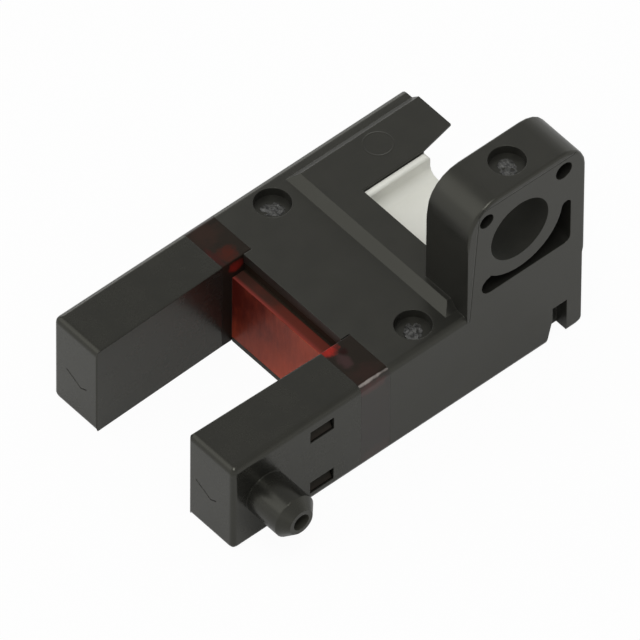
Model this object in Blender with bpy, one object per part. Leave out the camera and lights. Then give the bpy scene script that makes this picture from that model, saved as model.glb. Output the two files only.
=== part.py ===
"""Slot photo sensor with a mounting lug, a locating peg and a plug socket.

An emitter in the left arm looks across the slot at a receiver in the right arm.
X runs from the arm tips to the socket, Y towards the left arm and Z up.  Every
outline measures X from the arm tips and Y from the middle of the body, and one
empty carries all pieces so that the finished sensor stands over the origin.
"""

import math

import bmesh
import bpy

MM = 0.001

# Body
HOUSING_LENGTH = 21.55 * MM
REAR_STEP = 0.3 * MM
BODY_WIDTH = 22.8 * MM
BODY_HEIGHT = 10.1 * MM
EDGE_RADIUS = 0.65 * MM
TIP_RADIUS = 0.65 * MM
TIP_SIDE_RADIUS = 0.5 * MM
SMALL_RADIUS = 0.12 * MM
FIT = 0.04 * MM

# Slot and arms
SLOT_WIDTH = 11.8 * MM
SLOT_FLARE = 0.32 * MM
ARM_LENGTH = 14.1 * MM
BAND_LENGTH = 3.2 * MM
COVER_WALL = 0.9 * MM
COVER_INNER_WALL = 0.7 * MM
MARK_WIDTH = 0.14 * MM
MARK_DEPTH = 0.08 * MM
MARK_LENGTH = 1.85 * MM
MARK_DROP = 0.95 * MM
MARK_HOOK = 0.7 * MM
MARK_HOOK_RISE = 0.35 * MM
MARK_SHIFT = 0.42 * MM
LEFT_MARK_HEIGHT = 3.9 * MM
RIGHT_MARK_HEIGHT = 4.2 * MM

# Snap windows in the sides of the arms, level above and below their middle
WINDOW_START = 8.5 * MM
WINDOW_LENGTH = 2.6 * MM
WINDOW_HEIGHT = 1.38 * MM
UPPER_WINDOW_DROP = 1.35 * MM
LOWER_WINDOW_RISE = 0.99 * MM
LATCH_TOP_HEIGHT = 0.2 * MM
LATCH_FOOT_HEIGHT = 0.75 * MM
WINDOW_PLAY = 0.07 * MM

# Locating peg
PEG_POSITION = 3.6 * MM
PEG_DIAMETER = 4.2 * MM
PEG_LENGTH = 4.5 * MM
PEG_NOSE = 0.9 * MM
PEG_END_DIAMETER = 2.5 * MM
PEG_BORE = 1.65 * MM
PEG_BORE_DEPTH = 3.0 * MM

# Red core
ROOT_STEP = 1.1 * MM
LIP_STEP = 1.25 * MM
LEDGE_DROP = 2.1 * MM
LIP_THICKNESS = 1.1 * MM
LIP_OVERHANG = 0.15 * MM
CORE_WALL = 0.8 * MM
CORE_TAB = 3.0 * MM

# Raised deck behind the band
DECK_FROM_REAR = 14.3 * MM
DECK_RISE = 0.85 * MM
DECK_RIM = 1.28 * MM

# Rear housing
WALL = 1.0 * MM
BACK_WALL = 0.95 * MM
BAY_LENGTH = 10.45 * MM
LEFT_LEG_WIDTH = 6.9 * MM
LEG_FLARE = 0.7 * MM
LEG_FLARE_LENGTH = 3.6 * MM
LEG_EDGE = 0.25 * MM
LEG_UNDERCUT = 0.6

# Mounting lug
LUG_LENGTH = 13.05 * MM
LUG_THICKNESS = 5.25 * MM
LUG_TOP = 22.95 * MM
LUG_FRONT_RADIUS = 3.4 * MM
LUG_REAR_RADIUS = 2.9 * MM
LUG_EDGE_RADIUS = 0.5 * MM
LUG_INNER_RADIUS = 0.3 * MM
BORE_DIAMETER = 6.35 * MM
BORE_FROM_REAR = 7.35 * MM
BORE_HEIGHT = 17.25 * MM
BOSS_RADIUS = 4.75 * MM
POCKET_FRONT = 4.15 * MM
POCKET_REAR = 5.7 * MM
POCKET_BOTTOM = 5.6 * MM
POCKET_TOP = 0.33 * MM
POCKET_END_RADIUS = 0.98 * MM
POCKET_CORNER = 0.65 * MM
POCKET_TIP_RADIUS = 0.5 * MM
POCKET_DEPTH = 3.4 * MM
CORE_HOLE_RISE = 3.68 * MM
FRONT_HOLE_OFFSET = 3.69 * MM
FRONT_HOLE_DIAMETER = 1.5 * MM
REAR_HOLE_OFFSET = 4.85 * MM
REAR_HOLE_DIAMETER = 1.8 * MM
CORE_HOLE_DEPTH = 3.0 * MM

# Side notch under the lug
NOTCH_FROM_REAR = 1.6 * MM
NOTCH_LENGTH = 1.6 * MM
NOTCH_HEIGHT = 4.2 * MM
NOTCH_SLANT = 0.65 * MM
NOTCH_SLANT_HEIGHT = 2.7 * MM
NOTCH_DEPTH = 1.3 * MM
TAB_RADIUS = 0.7 * MM
TAB_RISE = 0.35 * MM

# Gate dimples
DIMPLE_DIAMETER = 3.3 * MM
DIMPLE_DEPTH = 0.6 * MM
DIMPLE_FLOOR_DIAMETER = 2.5 * MM
DIMPLE_FROM_BAND = 4.7 * MM
DIMPLE_FROM_SIDE = 2.5 * MM
LUG_DIMPLE_FROM_REAR = 6.5 * MM

# Bottom plate
PLATE_THICKNESS = 0.5 * MM
POST_DIAMETER = 1.4 * MM

# Circuit board
BOARD_HEIGHT = 1.6 * MM
BOARD_THICKNESS = 1.0 * MM
BOARD_FROM_BAND = 1.4 * MM
BOARD_MARGIN = 0.15 * MM
HOLE_PLAY = 0.08 * MM

# Plug socket
SOCKET_LENGTH = 6.8 * MM
SOCKET_TOP = 10.65 * MM
SOCKET_DECK_DROP = 2.1 * MM
SOCKET_WALL = 0.65 * MM
SOCKET_FILLET = 0.9 * MM
SOCKET_CORNER_RADIUS = 0.4 * MM
SOCKET_MOUTH_DEPTH = 4.5 * MM
SOCKET_BACK = 0.75 * MM
MOUTH_HEIGHT = 4.6 * MM
KEY_WIDTH = 0.65 * MM
KEY_LENGTH = 2.7 * MM
KEY_INSET = 1.95 * MM
PIN_COUNT = 3
PIN_PITCH = 2.5 * MM
PIN_WIDTH = 0.64 * MM
PIN_REACH = 3.1 * MM
PIN_HEIGHT = 5.6 * MM
PIN_BEND = 0.7 * MM

# Optical parts
AXIS_POSITION = 3.6 * MM
PACKAGE_LENGTH = 2.6 * MM
PACKAGE_HEIGHT = 3.4 * MM
PACKAGE_SETBACK = 0.45 * MM
PACKAGE_BACK = 0.35 * MM
LENS_RADIUS = 0.9 * MM
LENS_RISE = 0.35 * MM
HOLDER_LENGTH = 5.0 * MM
LEAD_WIDTH = 0.4 * MM
LEAD_DEPTH = 0.42 * MM
LEAD_PITCH = 1.05 * MM
LEAD_TAIL = 0.5 * MM

# Parts on the board, each a length, a width and a height
AMPLIFIER_SIZE = (4.9 * MM, 3.9 * MM, 1.5 * MM)
LEG_COUNT = 4
LEG_PITCH = 1.27 * MM
LEG_WIDTH = 0.42 * MM
LEG_REACH = 1.0 * MM
LEG_THICKNESS = 0.2 * MM
TRANSISTOR_SIZE = (2.9 * MM, 1.5 * MM, 1.1 * MM)
LAMP_SIZE = (1.0 * MM, 2.0 * MM, 0.9 * MM)
RESISTOR_SIZE = (1.6 * MM, 0.8 * MM, 0.5 * MM)
CAPACITOR_SIZE = (2.0 * MM, 1.25 * MM, 1.0 * MM)
PART_SPACE = 0.5 * MM

# Facets
ROUND_STEPS = 3
BORE_STEPS = 40
HOLE_STEPS = 16

# Places worked out from the sizes above
HALF = BODY_WIDTH / 2
MIDDLE = BODY_HEIGHT / 2
BAND_END = ARM_LENGTH + BAND_LENGTH
TOTAL_LENGTH = BAND_END + HOUSING_LENGTH
BODY_END = TOTAL_LENGTH - REAR_STEP
WINDOWS = {"upper": (BODY_HEIGHT - UPPER_WINDOW_DROP - WINDOW_HEIGHT, BODY_HEIGHT - UPPER_WINDOW_DROP),
           "lower": (LOWER_WINDOW_RISE, LOWER_WINDOW_RISE + WINDOW_HEIGHT)}
ROOT_POSITION = ARM_LENGTH + ROOT_STEP
LIP_POSITION = ROOT_POSITION + LIP_STEP
ROOT_HALF = SLOT_WIDTH / 2 + SLOT_FLARE
DECK_START = TOTAL_LENGTH - DECK_FROM_REAR
DECK_TOP = BODY_HEIGHT + DECK_RISE
ROOF = BODY_HEIGHT - WALL
LUG_START = TOTAL_LENGTH - LUG_LENGTH
LUG_INNER = -HALF + LUG_THICKNESS
BORE_POSITION = TOTAL_LENGTH - BORE_FROM_REAR
LEG_INNER = HALF - LEFT_LEG_WIDTH
FLARE_START = BODY_END - LEG_FLARE_LENGTH
BAY_START = BODY_END - BAY_LENGTH
BAY_WALL_START = BAY_START - BACK_WALL
BOARD_START = BAND_END + BOARD_FROM_BAND
BOARD_TOP = BOARD_HEIGHT + BOARD_THICKNESS
BOARD_WAIST = BAY_WALL_START - WALL - BOARD_MARGIN
BOARD_MIDDLE = (BOARD_START + BOARD_WAIST) / 2
SOCKET_START = BAY_START + BOARD_MARGIN
SOCKET_END = SOCKET_START + SOCKET_LENGTH
SOCKET_CENTRE = (LEG_INNER + LUG_INNER) / 2
SOCKET_HALF = (LEG_INNER - LUG_INNER) / 2 - FIT
CAVITY_INNER = ROOT_HALF + COVER_INNER_WALL
CAVITY_OUTER = HALF - COVER_WALL
HOLDER_END = COVER_WALL + FIT + HOLDER_LENGTH
PACKAGE_FACE = CAVITY_INNER + PACKAGE_SETBACK
BEYOND = 2 * MM


def clear_scene():
    """Take away whatever the file opened with."""
    for item in list(bpy.data.objects):
        bpy.data.objects.remove(item, do_unlink=True)


def make_material(name, colour, roughness, metallic=0.0, alpha=1.0):
    """One Principled material in the colour of the real piece."""
    material = bpy.data.materials.new(name)
    material.use_nodes = True
    shader = material.node_tree.nodes["Principled BSDF"]
    shader.inputs["Base Color"].default_value = (*colour, 1.0)
    shader.inputs["Roughness"].default_value = roughness
    shader.inputs["Metallic"].default_value = metallic
    shader.inputs["Alpha"].default_value = alpha
    material.diffuse_color = (*colour, alpha)
    return material


def finish(bm, name, material):
    """Turn a closed bmesh into a named object carried by the sensor's empty."""
    bmesh.ops.remove_doubles(bm, verts=bm.verts, dist=1e-7)
    bmesh.ops.recalc_face_normals(bm, faces=bm.faces)
    mesh = bpy.data.meshes.new(name)
    bm.to_mesh(mesh)
    bm.free()
    mesh.shade_smooth()
    mesh.set_sharp_from_angle(angle=math.radians(35))
    item = bpy.data.objects.new(name, mesh)
    bpy.context.collection.objects.link(item)
    item.parent = carrier
    if material:
        mesh.materials.append(material)
    else:
        item.hide_render = True
        item.display_type = "WIRE"
    return item


def place(axis, along, u, v):
    """A point of an outline (u, v) at a distance along the extrusion's axis."""
    return {"X": (along, u, v), "Y": (u, along, v), "Z": (u, v, along)}[axis]


def prism(name, outline, span, axis, material=None):
    """Extrude an outline of (u, v) points over a span of one axis."""
    bm = bmesh.new()
    ends = [[bm.verts.new(place(axis, along, u, v)) for u, v in outline] for along in span]
    bm.faces.new(ends[0])
    bm.faces.new(ends[1])
    for i in range(len(outline)):
        j = (i + 1) % len(outline)
        bm.faces.new((ends[0][i], ends[0][j], ends[1][j], ends[1][i]))
    return finish(bm, name, material)


def bridge(name, one, two):
    """A hidden shape between two flat rings of as many points."""
    bm = bmesh.new()
    rings = [[bm.verts.new(point) for point in ring] for ring in (one, two)]
    bm.faces.new(rings[0])
    bm.faces.new(rings[1])
    for i in range(len(one)):
        j = (i + 1) % len(one)
        bm.faces.new((rings[0][i], rings[0][j], rings[1][j], rings[1][i]))
    return finish(bm, name, None)


def block(name, x, y, z, material=None):
    """A plain block from its spans in X, Y and Z."""
    outline = [(x[0], y[0]), (x[1], y[0]), (x[1], y[1]), (x[0], y[1])]
    return prism(name, outline, z, "Z", material)


def turned(name, profile, centre, axis, steps, material=None):
    """Turn a profile of (radius, distance along the axis) points about an axis."""
    bm = bmesh.new()
    rings = []
    for radius, along in profile:
        if radius == 0:
            rings.append([bm.verts.new(place(axis, along, *centre))])
            continue
        ring = []
        for i in range(steps):
            angle = 2 * math.pi * i / steps
            u = centre[0] + radius * math.cos(angle)
            v = centre[1] + radius * math.sin(angle)
            ring.append(bm.verts.new(place(axis, along, u, v)))
        rings.append(ring)
    for one, two in zip(rings, rings[1:]):
        for i in range(steps):
            j = (i + 1) % steps
            corners = [one[i % len(one)], one[j % len(one)], two[j % len(two)], two[i % len(two)]]
            bm.faces.new(list(dict.fromkeys(corners)))
    for ring in (rings[0], rings[-1]):
        if len(ring) > 1:
            bm.faces.new(ring)
    return finish(bm, name, material)


def rod(name, centre, radius, span, axis, steps, material=None):
    """A round rod or a drill of one radius."""
    return turned(name, [(radius, span[0]), (radius, span[1])], centre, axis, steps, material)


def arc(centre, radius, start, end, steps):
    """Points on an arc, from a start angle to an end angle in degrees."""
    angles = [math.radians(start + (end - start) * i / steps) for i in range(steps + 1)]
    return [(centre[0] + radius * math.cos(a), centre[1] + radius * math.sin(a)) for a in angles]


def rounded(corners, steps=ROUND_STEPS):
    """An outline from (u, v, radius) corners, each replaced by an arc of its radius."""
    outline = []
    for i, (u, v, radius) in enumerate(corners):
        before = corners[i - 1]
        after = corners[(i + 1) % len(corners)]
        if radius == 0:
            outline.append((u, v))
            continue
        a = math.atan2(before[1] - v, before[0] - u)
        b = math.atan2(after[1] - v, after[0] - u)
        turn = (b - a + math.pi) % (2 * math.pi) - math.pi
        reach = radius / math.sin(abs(turn) / 2)
        centre = (u + reach * math.cos(a + turn / 2), v + reach * math.sin(a + turn / 2))
        start = math.degrees(a) - math.copysign(90, turn)
        sweep = math.degrees(turn) - math.copysign(180, turn)
        outline += arc(centre, radius, start, start + sweep, steps)
    return outline


def carve(piece, *cutters):
    """Cut hidden shapes out of a piece."""
    for cutter in cutters:
        cut = piece.modifiers.new("cut_" + cutter.name, "BOOLEAN")
        cut.operation = "DIFFERENCE"
        cut.solver = "EXACT"
        cut.object = cutter
        cutter.hide_render = True
        cutter.display_type = "WIRE"


def join(piece, *others):
    """Grow a piece by hidden shapes that overlap it."""
    for other in others:
        union = piece.modifiers.new("add_" + other.name, "BOOLEAN")
        union.operation = "UNION"
        union.solver = "EXACT"
        union.object = other
        other.hide_render = True
        other.display_type = "WIRE"


def round_edges(piece, rules):
    """Round the edges that a rule picks; a rule tests an edge's middle and direction."""
    widest = max(radius for _, radius in rules)
    mesh = piece.data
    weights = mesh.attributes.new("bevel_weight_edge", "FLOAT", "EDGE")
    for edge in mesh.edges:
        one, two = (mesh.vertices[i].co for i in edge.vertices)
        for test, radius in rules:
            if test((one + two) / 2, (two - one).normalized()):
                weights.data[edge.index].value = radius / widest
                break
    bevel = piece.modifiers.new("rounding", "BEVEL")
    bevel.limit_method = "WEIGHT"
    bevel.width = widest
    bevel.segments = ROUND_STEPS


def section(inner, outer, bottom, top):
    """The body's section: rounded at its outer edges, nearly sharp at the slot."""
    side = math.copysign(1, outer)
    corners = [(inner, bottom, SMALL_RADIUS), (outer, bottom, EDGE_RADIUS),
               (outer, top, EDGE_RADIUS), (inner, top, SMALL_RADIUS)]
    return rounded(corners if side > 0 else corners[::-1])


def arm_cover(name, side):
    """A hollow cap over one arm, closed at its tip and open towards the band."""
    tip, root = side * SLOT_WIDTH / 2, side * (SLOT_WIDTH / 2 + SLOT_FLARE)
    outer = side * HALF
    outline = [(0, tip), (0, outer), (ARM_LENGTH, outer), (ARM_LENGTH, root)]
    cover = prism(name, outline, (0, BODY_HEIGHT), "Z", filter_black)
    near_outer = lambda at: abs(at.y - outer) < 1e-6
    near_tip = lambda at: at.x < 1e-6
    round_edges(cover, [
        (lambda at, way: near_outer(at) and near_tip(at), TIP_SIDE_RADIUS),
        (lambda at, way: near_outer(at) and at.x < ARM_LENGTH - 1e-6, EDGE_RADIUS),
        (lambda at, way: near_tip(at) and abs(way.z) > 0.5 and not near_outer(at), SMALL_RADIUS),
        (lambda at, way: near_tip(at), TIP_RADIUS),
        (lambda at, way: at.x < ARM_LENGTH - 1e-6 and abs(way.x) > 0.5, SMALL_RADIUS),
    ])
    carve(cover, block(name + "_cavity", (COVER_WALL, ARM_LENGTH + BEYOND),
                       sorted((side * CAVITY_INNER, side * CAVITY_OUTER)),
                       (COVER_WALL, BODY_HEIGHT - COVER_WALL)))
    carve(cover, tip_mark(name + "_mark", side), *snap_windows(name, side))
    return cover


def tip_mark(name, side):
    """A cutter for the shallow hooked line that is engraved in each arm tip."""
    corner_y = side * (SLOT_WIDTH / 2 + HALF) / 2 - MARK_HOOK / 2 - side * MARK_SHIFT
    corner_z = LEFT_MARK_HEIGHT if side > 0 else RIGHT_MARK_HEIGHT
    line = [(corner_y + MARK_LENGTH, corner_z + MARK_DROP), (corner_y, corner_z),
            (corner_y - MARK_HOOK, corner_z + MARK_HOOK_RISE)]
    back = [(u, v + MARK_WIDTH) for u, v in reversed(line)]
    return prism(name, line + back, (-BEYOND, MARK_DEPTH), "X")


def snap_windows(name, side):
    """Cutters for the two windows that the core's latches click into."""
    cutters = []
    for level, z in WINDOWS.items():
        y = sorted((side * (CAVITY_INNER + CAVITY_OUTER) / 2, side * (HALF + BEYOND)))
        x = (WINDOW_START, WINDOW_START + WINDOW_LENGTH)
        cutters.append(block(f"{name}_{level}_window", x, y, z))
    return cutters


def add_peg(cover):
    """The cored locating peg that stands on the outer side of the right arm."""
    foot, end = -HALF + COVER_WALL / 2, -HALF - PEG_LENGTH
    body = turned("peg", [
        (PEG_DIAMETER / 2, foot),
        (PEG_DIAMETER / 2, end + PEG_NOSE),
        (PEG_END_DIAMETER / 2, end),
        (PEG_BORE / 2, end),
        (PEG_BORE / 2, end + PEG_BORE_DEPTH),
        (0, end + PEG_BORE_DEPTH),
    ], (PEG_POSITION, MIDDLE), "Y", 2 * HOLE_STEPS)
    join(cover, body)


def light_core():
    """The dark red core: band, slot root with its ledge, fingers and latches."""
    lip_bottom = BODY_HEIGHT - LIP_THICKNESS - FIT
    step = LIP_POSITION + LIP_OVERHANG
    ledge = BODY_HEIGHT - LEDGE_DROP
    floor = PLATE_THICKNESS + FIT
    root = [(ROOT_POSITION, floor), (BAND_END - FIT, floor), (BAND_END - FIT, lip_bottom),
            (step, lip_bottom), (step, ledge), (ROOT_POSITION, ledge)]
    core = prism("light_core", root, (-ROOT_HALF - CORE_WALL, ROOT_HALF + CORE_WALL), "Y", red_filter)
    for side, label in ((1, "left"), (-1, "right")):
        join(core, *core_arm(side, label))
        channel_y = sorted((side * (ROOT_HALF + CORE_WALL), side * (HALF - CORE_WALL)))
        carve(core, block(label + "_channel", (ARM_LENGTH - BEYOND, BAND_END + BEYOND), channel_y,
                          (WINDOWS["lower"][1], WINDOWS["upper"][0])))
    return core


def core_arm(side, label):
    """One shoulder of the band with its rear tab, and its fingers with their latches."""
    shoulder = prism(label + "_shoulder", section(side * ROOT_HALF, side * HALF, 0, BODY_HEIGHT),
                     (ARM_LENGTH + FIT, BAND_END - FIT), "X")
    tab_y = sorted((side * (HALF - WALL - FIT - CORE_WALL), side * (HALF - WALL - FIT)))
    tab = block(label + "_tab", (BAND_END - CORE_WALL, BAND_END + CORE_TAB), tab_y,
                (WINDOWS["upper"][0], ROOF - FIT))
    parts = [shoulder, tab]
    fingers = {"upper": (WINDOWS["upper"][0], BODY_HEIGHT - COVER_WALL - FIT),
               "lower": (COVER_WALL + FIT, WINDOWS["lower"][1])}
    for level, finger_z in fingers.items():
        finger_y = sorted((side * (CAVITY_INNER + FIT), side * (CAVITY_OUTER - FIT)))
        finger = block(f"{label}_{level}_finger", (HOLDER_END + FIT, ARM_LENGTH + CORE_WALL), finger_y,
                       finger_z)
        inside = side * (CAVITY_INNER + CAVITY_OUTER) / 2
        foot, top = WINDOWS[level][0] + WINDOW_PLAY, WINDOWS[level][1] - WINDOW_PLAY
        slope = [(inside, foot), (side * (CAVITY_OUTER + LATCH_FOOT_HEIGHT), foot),
                 (side * (CAVITY_OUTER + LATCH_TOP_HEIGHT), top), (inside, top)]
        latch_x = (WINDOW_START + WINDOW_PLAY, WINDOW_START + WINDOW_LENGTH - WINDOW_PLAY)
        parts += [finger, prism(f"{label}_{level}_latch", slope, latch_x, "X")]
    return parts


def rear_housing():
    """The black housing: deck, side walls, socket bay and mounting lug."""
    corners = [(-HALF, 0, EDGE_RADIUS), (HALF, 0, EDGE_RADIUS),
               (HALF, BODY_HEIGHT, EDGE_RADIUS), (-HALF, BODY_HEIGHT, EDGE_RADIUS)]
    housing = prism("rear_housing", rounded(corners), (BAND_END, BODY_END), "X", housing_black)
    lip = block("lip", (LIP_POSITION, BAND_END + WALL), (-ROOT_HALF + FIT, ROOT_HALF - FIT),
                (BODY_HEIGHT - LIP_THICKNESS, BODY_HEIGHT))
    join(housing, lip, deck(), lug())
    carve(housing, *housing_cavities(), *lug_cutters(), *dimples(), side_notch(), tab_corner())
    return housing


def deck():
    """The raised deck: its front and sides slope at 45 degrees, its rear is flush."""
    side = HALF - DECK_RIM
    rings = []
    for inset, z in ((-WALL / 2, BODY_HEIGHT - WALL / 2), (DECK_RISE, DECK_TOP)):
        x, y = DECK_START + inset, side - inset
        rings.append([(x, -y, z), (BODY_END, -y, z), (BODY_END, y, z), (x, y, z)])
    return bridge("deck", *rings)


def lug():
    """The upright lug, level with the right side and rounded at its outer edges."""
    corners = [(LUG_START, WALL, 0), (BODY_END, WALL, 0), (BODY_END, BODY_HEIGHT - WALL, 0),
               (TOTAL_LENGTH, BODY_HEIGHT, 0),
               (TOTAL_LENGTH, LUG_TOP, LUG_REAR_RADIUS), (LUG_START, LUG_TOP, LUG_FRONT_RADIUS)]
    plate = prism("lug", rounded(corners, 2 * ROUND_STEPS), (-HALF, LUG_INNER), "Y")
    above = lambda at: at.z > BODY_HEIGHT + EDGE_RADIUS
    outline_edge = lambda at, way: above(at) and abs(way.y) < 0.5
    round_edges(plate, [
        (lambda at, way: outline_edge(at, way) and at.y < -HALF + 1e-6, LUG_EDGE_RADIUS),
        (lambda at, way: outline_edge(at, way) and at.y > LUG_INNER - 1e-6, LUG_INNER_RADIUS),
    ])
    return plate


def housing_cavities():
    """Cutters for the hollow underside, the cored left leg, its open end and the socket bay."""
    side = HALF - WALL
    hollow = block("hollow", (BAND_END - BEYOND, BAY_WALL_START), (-side, side), (-BEYOND, ROOF))
    leg_core = block("leg_core", (BAY_WALL_START - WALL, FLARE_START - WALL), (LEG_INNER + WALL, side),
                     (-BEYOND, ROOF))
    pass_under = block("pass_under", (BAY_WALL_START - WALL, BAY_START + WALL),
                       (LUG_INNER, LEG_INNER), (-BEYOND, BOARD_TOP + BOARD_MARGIN))
    bay = prism("socket_bay", [
        (BAY_START, LUG_INNER), (TOTAL_LENGTH + BEYOND, LUG_INNER),
        (TOTAL_LENGTH + BEYOND, leg_side_at(TOTAL_LENGTH + BEYOND)),
        (FLARE_START, LEG_INNER), (BAY_START, LEG_INNER),
    ], (-BEYOND, DECK_TOP + BEYOND), "Z")
    return [hollow, leg_core, leg_end(), pass_under, bay]


def leg_side_at(x):
    """The Y place of the left leg's inner side, which flares towards the rear."""
    return LEG_INNER + LEG_FLARE * (x - FLARE_START) / LEG_FLARE_LENGTH


def leg_end():
    """A cutter that leaves the leg's end a roof with a thin inner edge and the outer wall."""
    rings = []
    for x in (FLARE_START, BODY_END + BEYOND):
        front = leg_side_at(x) - WALL
        slant_top = DECK_TOP - LEG_EDGE + WALL / LEG_UNDERCUT
        slant_end = leg_side_at(x) + LEG_UNDERCUT * (DECK_TOP - LEG_EDGE - ROOF)
        rings.append([(x, front, -BEYOND), (x, front, slant_top), (x, slant_end, ROOF),
                      (x, HALF - WALL, ROOF), (x, HALF - WALL, -BEYOND)])
    return bridge("leg_end", *rings)


def lug_cutters():
    """Cutters for the bore, the crescent pocket under it and the two core holes."""
    outside = -HALF - BEYOND
    bore = rod("bore", (BORE_POSITION, BORE_HEIGHT), BORE_DIAMETER / 2,
               (outside, LUG_INNER + BEYOND), "Y", BORE_STEPS)
    pocket = prism("crescent_pocket", crescent(), (outside, -HALF + POCKET_DEPTH), "Y")
    holes = []
    for name, offset, diameter in (("front_core_hole", -FRONT_HOLE_OFFSET, FRONT_HOLE_DIAMETER),
                                   ("rear_core_hole", REAR_HOLE_OFFSET, REAR_HOLE_DIAMETER)):
        holes.append(rod(name, (BORE_POSITION + offset, BORE_HEIGHT + CORE_HOLE_RISE), diameter / 2,
                         (outside, -HALF + CORE_HOLE_DEPTH), "Y", HOLE_STEPS))
    return [bore, pocket, *holes]


def crescent():
    """The pocket's outline: a rounded corner piece that stops at the bore's boss."""
    x, z = BORE_POSITION, BORE_HEIGHT
    bottom = -POCKET_BOTTOM
    cap = (-POCKET_FRONT + POCKET_END_RADIUS, bottom + POCKET_END_RADIUS)
    outline = arc(cap, POCKET_END_RADIUS, 90, 270, 2 * ROUND_STEPS)
    corner = (POCKET_REAR - POCKET_CORNER, bottom + POCKET_CORNER)
    outline += arc(corner, POCKET_CORNER, -90, 0, ROUND_STEPS)
    tip = (POCKET_REAR - POCKET_TIP_RADIUS, -POCKET_TOP - POCKET_TIP_RADIUS)
    outline += arc(tip, POCKET_TIP_RADIUS, 0, 150, 2 * ROUND_STEPS)
    start = -math.degrees(math.asin(-tip[1] / BOSS_RADIUS))
    end = -180 + math.degrees(math.acos(min(1, -cap[0] / BOSS_RADIUS)))
    outline += arc((0, 0), BOSS_RADIUS, start, end, BORE_STEPS // 3)
    return [(x + u, z + v) for u, v in outline]


def dimples():
    """Round gate pits beside the deck and on top of the lug, with a rounded floor edge."""
    front = BAND_END + DIMPLE_FROM_BAND
    spots = [("left_dimple", front, HALF - DIMPLE_FROM_SIDE, BODY_HEIGHT),
             ("right_dimple", front, -HALF + DIMPLE_FROM_SIDE, BODY_HEIGHT),
             ("lug_dimple", TOTAL_LENGTH - LUG_DIMPLE_FROM_REAR, (LUG_INNER - HALF) / 2, LUG_TOP)]
    radius, floor = DIMPLE_DIAMETER / 2, DIMPLE_FLOOR_DIAMETER / 2
    cutters = []
    for name, x, y, top in spots:
        profile = [(0, top - DIMPLE_DEPTH), (floor, top - DIMPLE_DEPTH),
                   ((floor + 2 * radius) / 3, top - 0.7 * DIMPLE_DEPTH),
                   (radius, top), (radius, top + BEYOND)]
        cutters.append(turned(name, profile, (x, y), "Z", 2 * HOLE_STEPS))
    return cutters


def side_notch():
    """The notch in the right side, wider at its foot, in front of the rear tab."""
    rear = BODY_END - NOTCH_FROM_REAR
    front = rear - NOTCH_LENGTH
    outline = [(front - NOTCH_SLANT, -BEYOND), (front - NOTCH_SLANT, 0), (front, NOTCH_SLANT_HEIGHT),
               (front, NOTCH_HEIGHT), (rear, NOTCH_HEIGHT), (rear, -BEYOND)]
    return prism("side_notch", outline, (-HALF - BEYOND, -HALF + NOTCH_DEPTH), "Y")


def tab_corner():
    """A cutter that lifts the tab behind the notch a little and rounds its lower rear corner."""
    centre = (BODY_END - TAB_RADIUS, TAB_RISE + TAB_RADIUS)
    outline = arc(centre, TAB_RADIUS, 0, -90, 2 * ROUND_STEPS)
    front = BODY_END - NOTCH_FROM_REAR - NOTCH_LENGTH / 2
    outline += [(front, TAB_RISE), (front, -BEYOND), (BODY_END + BEYOND, -BEYOND),
                (BODY_END + BEYOND, centre[1])]
    return prism("tab_corner", outline, (-HALF - BEYOND, LUG_INNER + WALL), "Y")


def bottom_plate():
    """The plate that closes the underside, with a tongue under the slot's root."""
    side = HALF - WALL - FIT
    front, rear = BAND_END + FIT, BAY_WALL_START - WALL
    leg_rear = FLARE_START - WALL - FIT
    leg_side = LEG_INNER + WALL + FIT
    outline = [
        (ROOT_POSITION, -ROOT_HALF + FIT), (front, -ROOT_HALF + FIT), (front, -side),
        (rear, -side), (rear, LUG_INNER + FIT), (SOCKET_END, LUG_INNER + FIT),
        (SOCKET_END, LEG_INNER - FIT), (rear, LEG_INNER - FIT), (rear, leg_side),
        (leg_rear, leg_side), (leg_rear, side), (front, side),
        (front, ROOT_HALF - FIT), (ROOT_POSITION, ROOT_HALF - FIT),
    ]
    plate = prism("bottom_plate", outline, (0, PLATE_THICKNESS), "Z", plate_black)
    for i, (x, y) in enumerate(post_places()):
        join(plate, rod(f"post_{i + 1}", (x, y), POST_DIAMETER / 2,
                        (PLATE_THICKNESS / 2, BOARD_HEIGHT - FIT), "Z", HOLE_STEPS))
    return plate


def post_places():
    """Where the four posts carry the board."""
    front, rear = BOARD_START + 2 * POST_DIAMETER, SOCKET_END - 2 * POST_DIAMETER
    wide = HALF - WALL - 1.5 * POST_DIAMETER
    return [(front, wide / 2), (front, -wide / 2),
            (rear, SOCKET_CENTRE + SOCKET_HALF - POST_DIAMETER),
            (rear, SOCKET_CENTRE - SOCKET_HALF + POST_DIAMETER)]


def circuit_board():
    """The board: wide in the hollow, narrow under the socket, drilled for every lead."""
    side = HALF - WALL - BOARD_MARGIN
    left, right = LEG_INNER - BOARD_MARGIN, LUG_INNER + BOARD_MARGIN
    outline = [(BOARD_START, -side), (BOARD_WAIST, -side), (BOARD_WAIST, right), (SOCKET_END, right),
               (SOCKET_END, left), (BOARD_WAIST, left), (BOARD_WAIST, side), (BOARD_START, side)]
    board = prism("circuit_board", outline, (BOARD_HEIGHT, BOARD_TOP), "Z", board_green)
    half_hole = LEAD_WIDTH / 2 + HOLE_PLAY
    for name, x, y in lead_places():
        carve(board, rod(name + "_hole", (x, y), half_hole * math.sqrt(2),
                         (0, BOARD_TOP + BEYOND), "Z", HOLE_STEPS // 2))
    for i in range(PIN_COUNT):
        carve(board, rod(f"pin_{i + 1}_hole", (pin_drop(), pin_place(i)),
                         (PIN_WIDTH / 2 + HOLE_PLAY) * math.sqrt(2),
                         (0, BOARD_TOP + BEYOND), "Z", HOLE_STEPS // 2))
    return board


def pin_place(i):
    """The Y place of one socket pin."""
    return SOCKET_CENTRE + (i - (PIN_COUNT - 1) / 2) * PIN_PITCH


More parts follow.
